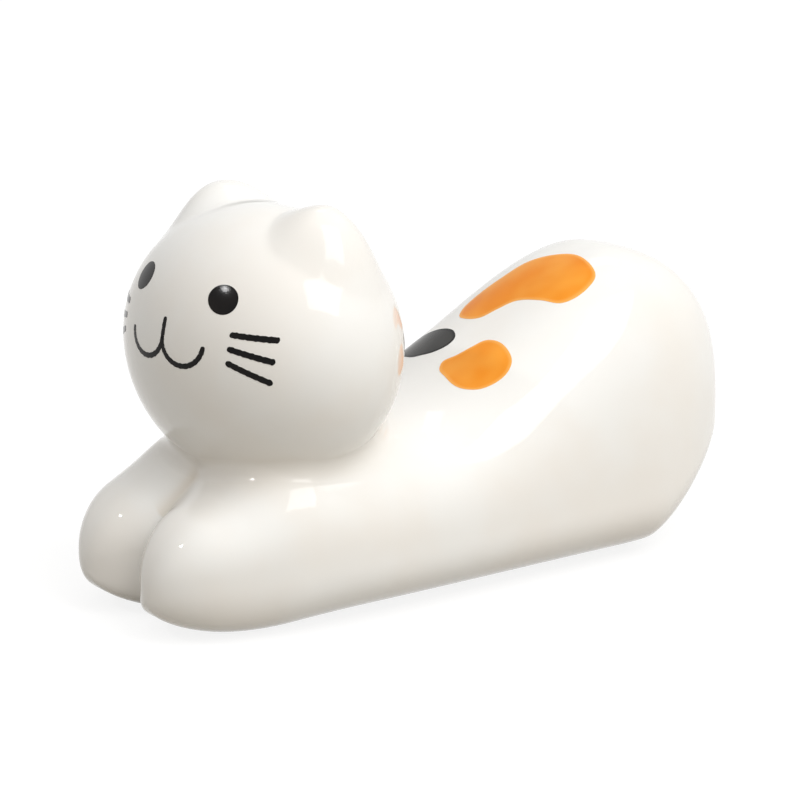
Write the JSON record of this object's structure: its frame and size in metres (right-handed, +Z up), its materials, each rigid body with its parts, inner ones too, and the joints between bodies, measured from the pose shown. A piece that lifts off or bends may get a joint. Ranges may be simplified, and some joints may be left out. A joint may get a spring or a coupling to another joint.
{
  "type": "chopstick rest",
  "caption": "Glazed ceramic chopstick rest shaped as a lying cat; chopsticks lie across the dip behind its head; printed face and patches.",
  "frame": {"origin": "middle of the object's box, on the flat foot", "axes": "+Z up, X along the body with the head towards -X, the cat's left side faces -Y"},
  "size_m": [0.0692, 0.0304, 0.0399],
  "materials": {
    "white_glaze": "warm white porcelain under a clear gloss glaze, bare and matt on the foot",
    "black_ink": "black transfer fired into the glaze, gloss",
    "orange_ink": "orange transfer fired into the glaze, gloss, slightly uneven in tone",
    "soft_black_ink": "soft black transfer fired into the glaze, gloss"
  },
  "bodies": {
    "root": {"torso": "white_glaze", "head": "white_glaze", "ear_left": "white_glaze", "ear_right": "white_glaze", "foreleg_left": "white_glaze", "foreleg_right": "white_glaze", "eye_left": "black_ink", "eye_right": "black_ink", "mouth_line": "black_ink", "whisker_left_upper": "black_ink", "whisker_left_middle": "black_ink", "whisker_left_lower": "black_ink", "whisker_right_upper": "black_ink", "whisker_right_middle": "black_ink", "whisker_right_lower": "black_ink", "orange_patch_rump": "orange_ink", "orange_patch_side": "orange_ink", "black_patch": "soft_black_ink"}
  },
  "joints": []
}
